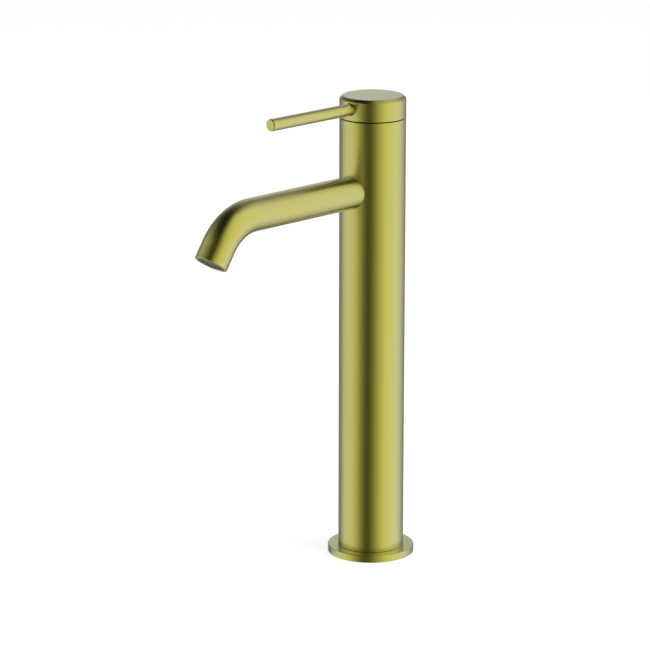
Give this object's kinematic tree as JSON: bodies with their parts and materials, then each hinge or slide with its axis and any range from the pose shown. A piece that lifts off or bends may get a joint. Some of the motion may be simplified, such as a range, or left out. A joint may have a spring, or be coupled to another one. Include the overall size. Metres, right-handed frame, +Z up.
{
  "type": "basin mixer",
  "caption": "Tall single-lever basin mixer: round column on a flange, long down-turned spout, flat cap with a pin lever that lifts to open and turns for temperature.",
  "frame": {"origin": "centre of the foot on the deck, where the column's axis meets the deck", "axes": "+Z up along the column, -Y out along the spout and the lever, +X to the cold side"},
  "size_m": [0.0594, 0.1905, 0.3207],
  "materials": {
    "satin_brass": "satin",
    "raw_brass": "machined",
    "copper_tube": "drawn",
    "steel": "machined",
    "ceramic": "lapped",
    "white_plastic": "moulded",
    "grey_plastic": "moulded",
    "rubber": "matt"
  },
  "bodies": {
    "body": {"column": "satin_brass", "base_flange": "satin_brass", "base_seal": "rubber", "foot_insert": "raw_brass", "hot_riser": "copper_tube", "hot_riser_lower_seal": "rubber", "hot_riser_upper_seal": "rubber", "cold_riser": "copper_tube", "cold_riser_lower_seal": "rubber", "cold_riser_upper_seal": "rubber", "valve_body": "raw_brass", "spout_tube": "satin_brass", "spout_nipple": "raw_brass", "spout_seal": "rubber", "aerator_shell": "grey_plastic", "aerator_screen": "grey_plastic", "aerator_seal": "rubber", "cartridge_base": "grey_plastic", "hot_port_seal": "rubber", "cold_port_seal": "rubber", "outlet_port_seal": "rubber", "fixed_disc": "ceramic", "cartridge_housing": "grey_plastic", "cartridge_nut": "raw_brass", "cover_ring": "satin_brass"},
    "rotor": {"rotor": "white_plastic", "pivot_pin": "steel"},
    "sliding_disc": {"moving_disc": "ceramic", "disc_carrier": "white_plastic"},
    "handle": {"spindle": "steel", "handle_cap": "satin_brass", "lever_rod": "satin_brass", "handle_set_screw": "steel", "set_screw_plug": "satin_brass"}
  },
  "joints": [
    {"name": "temperature_turn", "type": "hinge", "parent": "body", "child": "rotor", "pos_m": [0, 0, 0.28345], "axis": [0, 0, 1], "range_deg": [-50, 50]},
    {"name": "lever_lift", "type": "hinge", "parent": "rotor", "child": "handle", "pos_m": [0, 0, 0.28345], "axis": [-1, 0, 0], "range_deg": [0, 25]},
    {"name": "disc_shift", "type": "slide", "parent": "rotor", "child": "sliding_disc", "axis": [0, -1, 0], "range_m": [0, 0.003]}
  ],
  "couplings": [
    {"joint": "disc_shift", "follows": "lever_lift", "m_per_rad": 0.006746}
  ]
}
